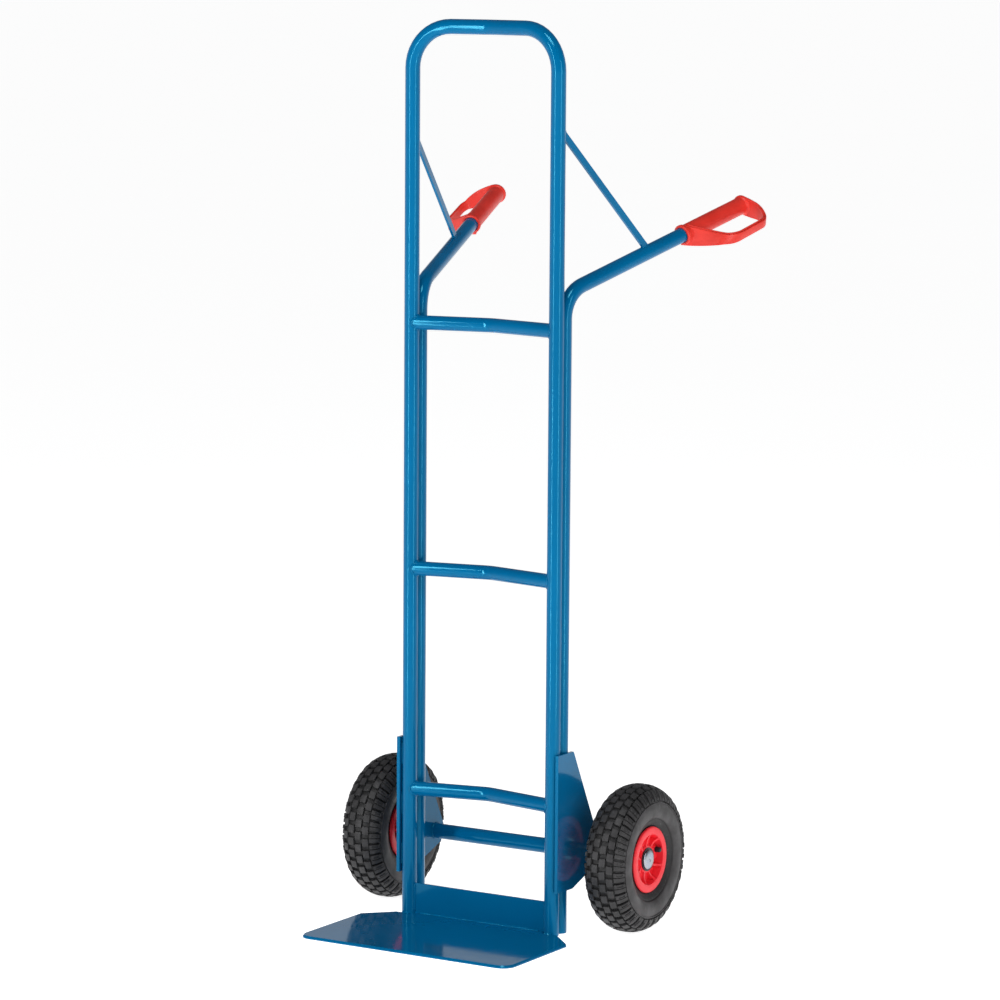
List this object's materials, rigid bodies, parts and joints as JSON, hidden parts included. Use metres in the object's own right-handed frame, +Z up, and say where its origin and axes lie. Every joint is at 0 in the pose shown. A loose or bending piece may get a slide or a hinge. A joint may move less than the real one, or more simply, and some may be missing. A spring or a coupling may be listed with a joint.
{
  "type": "hand truck",
  "caption": "Tall welded tube hand truck for stacked crates, with a toe plate, two pneumatic wheels and splayed rear handles with hand guards.",
  "frame": {"origin": "on the floor, midway between the uprights, under the front of the uprights where the load leans", "axes": "+Z up, -Y towards the load and the toe plate, +Y towards the handles and the person pushing, +X to the right as seen from the load side"},
  "size_m": [0.6558, 0.746, 1.628],
  "materials": {
    "frame_paint": "gloss blue powder coat",
    "grip_plastic": "bright red moulded plastic, semi-gloss",
    "rim_plastic": "red moulded plastic, semi-gloss",
    "tyre_rubber": "dark grey moulded rubber",
    "tube_rubber": "black butyl rubber",
    "zinc_steel": "bright zinc plate",
    "bearing_steel": "ground steel",
    "black_plastic": "black moulded plastic",
    "cage_plastic": "natural nylon"
  },
  "bodies": {
    "frame": {"front_loop": "frame_paint", "upper_crossbar": "frame_paint", "middle_crossbar": "frame_paint", "lower_crossbar": "frame_paint", "toe_plate": "frame_paint", "heel_plate": "frame_paint", "axle": "zinc_steel", "axle_tube": "frame_paint", "axle_sleeves": "zinc_steel", "axle_washers": "zinc_steel", "hub_rings": "black_plastic", "right_handle_tube": "frame_paint", "right_brace": "frame_paint", "right_axle_bracket": "frame_paint", "right_grip": "grip_plastic", "right_hub_cap": "zinc_steel", "left_handle_tube": "frame_paint", "left_brace": "frame_paint", "left_axle_bracket": "frame_paint", "left_grip": "grip_plastic", "left_hub_cap": "zinc_steel"},
    "right_wheel": {"right_tyre": "tyre_rubber", "right_inner_tube": "tube_rubber", "right_outer_rim": "rim_plastic", "right_inner_rim": "rim_plastic", "right_rim_screws": "zinc_steel", "right_bearing_race": "bearing_steel", "right_hub_seals": "black_plastic", "right_valve_stem": "tube_rubber", "right_valve_cap": "black_plastic"},
    "right_rollers": {"right_rollers": "bearing_steel", "right_roller_cage": "cage_plastic"},
    "left_wheel": {"left_tyre": "tyre_rubber", "left_inner_tube": "tube_rubber", "left_outer_rim": "rim_plastic", "left_inner_rim": "rim_plastic", "left_rim_screws": "zinc_steel", "left_bearing_race": "bearing_steel", "left_hub_seals": "black_plastic", "left_valve_stem": "tube_rubber", "left_valve_cap": "black_plastic"},
    "left_rollers": {"left_rollers": "bearing_steel", "left_roller_cage": "cage_plastic"}
  },
  "joints": [
    {"name": "right_wheel_spin", "type": "hinge", "parent": "frame", "child": "right_wheel", "pos_m": [0.258, 0.1255, 0.134], "axis": [1, 0, 0], "continuous": true},
    {"name": "right_rollers_spin", "type": "hinge", "parent": "frame", "child": "right_rollers", "pos_m": [0.258, 0.1255, 0.134], "axis": [1, 0, 0], "continuous": true},
    {"name": "left_wheel_spin", "type": "hinge", "parent": "frame", "child": "left_wheel", "pos_m": [-0.258, 0.1255, 0.134], "axis": [1, 0, 0], "continuous": true},
    {"name": "left_rollers_spin", "type": "hinge", "parent": "frame", "child": "left_rollers", "pos_m": [-0.258, 0.1255, 0.134], "axis": [1, 0, 0], "continuous": true}
  ],
  "couplings": [
    {"joint": "right_rollers_spin", "follows": "right_wheel_spin", "ratio": 0.60938},
    {"joint": "left_rollers_spin", "follows": "left_wheel_spin", "ratio": 0.60938}
  ]
}
